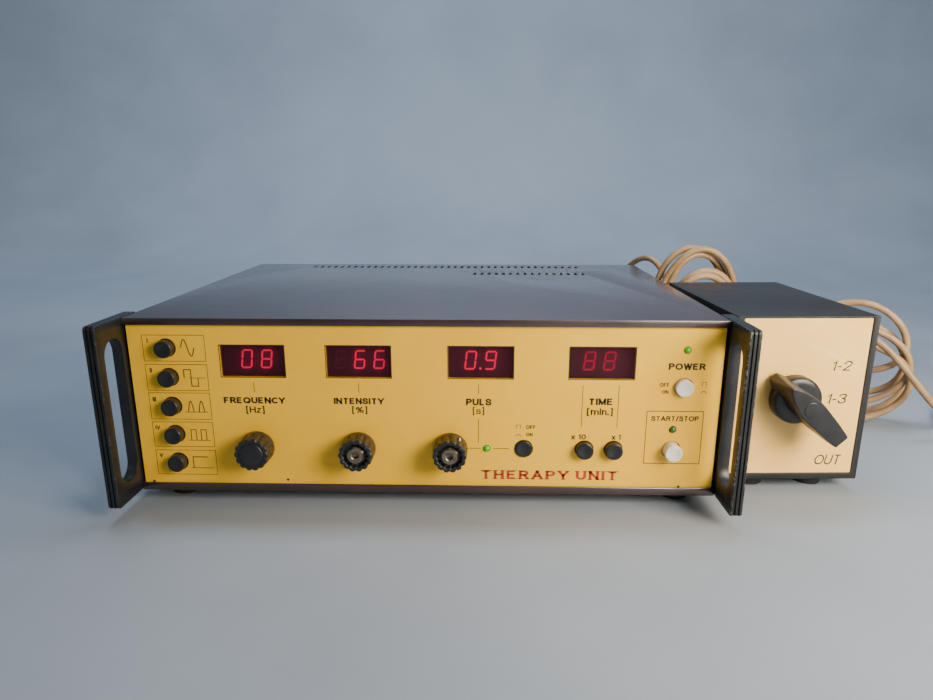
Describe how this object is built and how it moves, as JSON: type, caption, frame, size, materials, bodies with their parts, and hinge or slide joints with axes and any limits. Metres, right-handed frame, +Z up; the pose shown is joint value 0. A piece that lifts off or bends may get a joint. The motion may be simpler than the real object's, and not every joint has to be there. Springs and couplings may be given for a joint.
{
  "type": "physiotherapy generator",
  "caption": "Bench physiotherapy generator with red digital displays, knobs and push buttons, wired to a small output selector box with a rotary switch.",
  "frame": {"origin": "under the middle of the console and selector box together, on the table", "axes": "+X to the right seen from the front, +Y to the back, +Z up"},
  "size_m": [0.8374, 0.4179, 0.1752],
  "materials": {
    "brown_enamel": "semi-gloss enamel",
    "gold_panel": "satin gold anodised",
    "cream_panel": "satin",
    "plated_steel": "zinc plated",
    "black_paint": "satin, worn at the corners",
    "charcoal_paint": "fine texture",
    "black_plastic": "satin",
    "white_plastic": "semi-gloss",
    "black_rubber": "matte",
    "display_red": "polished dark filter",
    "circuit_board": "solder mask",
    "laminated_steel": "laminated",
    "green_lamp": "diffused lens",
    "beige_pvc": "soft sleeve"
  },
  "bodies": {
    "case": {"top_cover": "brown_enamel", "bottom_cover": "brown_enamel", "left_side_frame": "plated_steel", "right_side_frame": "plated_steel", "front_panel": "gold_panel", "rear_panel": "plated_steel", "left_handle": "black_paint", "right_handle": "black_paint", "console_foot_front_left": "black_rubber", "console_foot_front_right": "black_rubber", "console_foot_rear_left": "black_rubber", "console_foot_rear_right": "black_rubber", "display_window_1": "display_red", "display_window_2": "display_red", "display_window_3": "display_red", "display_window_4": "display_red", "display_board": "circuit_board", "mode_switch_bank": "plated_steel", "button_board": "circuit_board", "power_switch": "plated_steel", "potentiometer_bracket": "plated_steel", "pulse_lamp": "green_lamp", "power_lamp": "green_lamp", "start_lamp": "green_lamp", "mains_transformer": "laminated_steel", "main_board": "circuit_board", "mains_strain_relief": "black_plastic", "output_gland": "black_plastic", "fuse_holder": "black_plastic", "selector_housing": "charcoal_paint", "selector_panel": "cream_panel", "cam_switch": "black_plastic", "selector_gland": "black_plastic", "selector_foot_front_left": "black_rubber", "selector_foot_front_right": "black_rubber", "selector_foot_rear_left": "black_rubber", "selector_foot_rear_right": "black_rubber", "mains_lead_rear": "beige_pvc", "mains_hank": "beige_pvc", "mains_lead_strand": "beige_pvc", "mains_coil": "beige_pvc", "mains_lead_end": "beige_pvc", "mains_plug": "beige_pvc", "link_lead": "beige_pvc", "link_hank": "beige_pvc", "link_lead_end": "beige_pvc"},
    "knob_1": {"knob_1": "black_plastic"},
    "knob_2": {"knob_2": "black_plastic"},
    "knob_3": {"knob_3": "black_plastic"},
    "mode_button_1": {"mode_button_1": "black_plastic"},
    "mode_button_2": {"mode_button_2": "black_plastic"},
    "mode_button_3": {"mode_button_3": "black_plastic"},
    "mode_button_4": {"mode_button_4": "black_plastic"},
    "mode_button_5": {"mode_button_5": "black_plastic"},
    "pulse_button": {"pulse_button": "black_plastic"},
    "time_tens_button": {"time_tens_button": "black_plastic"},
    "time_units_button": {"time_units_button": "black_plastic"},
    "power_button": {"power_button": "white_plastic"},
    "start_button": {"start_button": "white_plastic"},
    "selector_handle": {"selector_handle": "black_plastic"}
  },
  "joints": [
    {"name": "knob_1_turn", "type": "hinge", "parent": "case", "child": "knob_1", "pos_m": [-0.1813, -0.15145, 0.0459], "axis": [0, -1, 0], "range_deg": [-135, 135]},
    {"name": "knob_2_turn", "type": "hinge", "parent": "case", "child": "knob_2", "pos_m": [-0.106, -0.15145, 0.0459], "axis": [0, -1, 0], "range_deg": [-135, 135]},
    {"name": "knob_3_turn", "type": "hinge", "parent": "case", "child": "knob_3", "pos_m": [-0.0382, -0.15145, 0.0459], "axis": [0, -1, 0], "range_deg": [-135, 135]},
    {"name": "mode_button_1_press", "type": "slide", "parent": "case", "child": "mode_button_1", "axis": [0, 1, 0], "range_m": [0, 0.0045]},
    {"name": "mode_button_2_press", "type": "slide", "parent": "case", "child": "mode_button_2", "axis": [0, 1, 0], "range_m": [0, 0.0045]},
    {"name": "mode_button_3_press", "type": "slide", "parent": "case", "child": "mode_button_3", "axis": [0, 1, 0], "range_m": [0, 0.0045]},
    {"name": "mode_button_4_press", "type": "slide", "parent": "case", "child": "mode_button_4", "axis": [0, 1, 0], "range_m": [0, 0.0045]},
    {"name": "mode_button_5_press", "type": "slide", "parent": "case", "child": "mode_button_5", "axis": [0, 1, 0], "range_m": [0, 0.0045]},
    {"name": "pulse_button_press", "type": "slide", "parent": "case", "child": "pulse_button", "axis": [0, 1, 0], "range_m": [-0.005, 0]},
    {"name": "power_button_press", "type": "slide", "parent": "case", "child": "power_button", "axis": [0, 1, 0], "range_m": [-0.005, 0]},
    {"name": "time_tens_button_press", "type": "slide", "parent": "case", "child": "time_tens_button", "axis": [0, 1, 0], "range_m": [0, 0.003], "stiffness_N_per_m": 400, "springref_m": -0.001},
    {"name": "time_units_button_press", "type": "slide", "parent": "case", "child": "time_units_button", "axis": [0, 1, 0], "range_m": [0, 0.003], "stiffness_N_per_m": 400, "springref_m": -0.001},
    {"name": "start_button_press", "type": "slide", "parent": "case", "child": "start_button", "axis": [0, 1, 0], "range_m": [0, 0.003], "stiffness_N_per_m": 400, "springref_m": -0.001},
    {"name": "selector_turn", "type": "hinge", "parent": "case", "child": "selector_handle", "pos_m": [0.2211, -0.12037, 0.0774], "axis": [0.0366, -0.9993, 0], "range_deg": [0, 90]}
  ]
}
